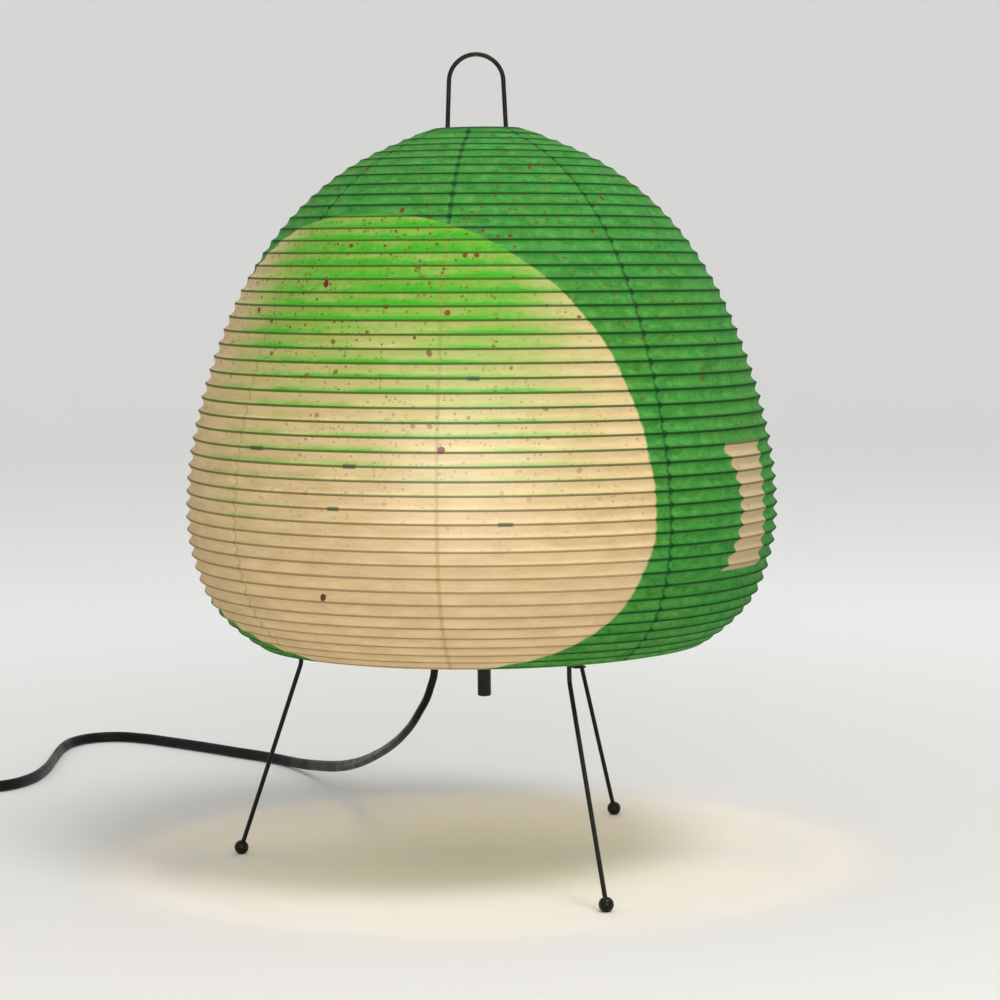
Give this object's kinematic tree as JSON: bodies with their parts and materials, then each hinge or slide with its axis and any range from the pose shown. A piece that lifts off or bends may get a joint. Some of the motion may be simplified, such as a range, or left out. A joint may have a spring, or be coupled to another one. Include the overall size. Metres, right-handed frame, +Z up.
{
  "type": "paper table lamp",
  "caption": "Egg-shaped washi paper lantern shade on a spiral bamboo rib, on a black wire stand with a handle loop, ball feet, lampholder, bulb and mains lead.",
  "frame": {"origin": "on the floor, on the lamp's axis under the middle of the shade", "axes": "+Z up along the shade's axis; +X along the handle loop and the cross strip; the front leg stands on the -Y side"},
  "size_m": [0.487, 0.4833, 0.3582],
  "materials": {
    "paper": "washi, painted, translucent",
    "bamboo": "split bamboo, unfinished",
    "black_wire": "satin black paint",
    "steel": "plain zinc-plated steel",
    "black_plastic": "moulded, satin",
    "brass": "plain",
    "nickel": "nickel-plated",
    "bulb_housing": "white, matt",
    "bulb_glass": "opal, emissive",
    "cord_sheath": "black flexible PVC"
  },
  "bodies": {
    "lamp": {"paper_shade": "paper", "bamboo_rib": "bamboo", "top_ring": "bamboo", "bottom_ring": "bamboo", "handle_wire": "black_wire", "frame_ring": "black_wire", "leg_left": "black_wire", "foot_left": "black_wire", "ring_clip_left": "steel", "leg_front": "black_wire", "foot_front": "black_wire", "ring_clip_front": "steel", "leg_back": "black_wire", "foot_back": "black_wire", "ring_clip_back": "steel", "cross_strip": "steel", "holder_base": "black_plastic", "holder_body": "black_plastic", "screw_shell": "brass", "centre_contact": "brass", "cord_grip": "black_plastic", "cord_lead": "cord_sheath", "cord_coil": "cord_sheath", "cord_tail": "cord_sheath", "cord_tie": "black_plastic", "plug_body": "black_plastic", "plug_blade_a": "nickel", "plug_blade_b": "nickel"},
    "bulb": {"bulb_tip": "brass", "bulb_cap": "nickel", "bulb_collar": "bulb_housing", "bulb_globe": "bulb_glass"},
    "switch": {"switch_stem": "brass", "switch_knob": "black_plastic"}
  },
  "joints": [
    {"name": "switch_turn", "type": "hinge", "parent": "lamp", "child": "switch", "pos_m": [0, 0, 0.08], "axis": [0, 0, 1], "continuous": true},
    {"name": "bulb_removal", "type": "slide", "parent": "lamp", "child": "bulb", "axis": [0, 0, 1], "range_m": [0, 0.03]}
  ]
}
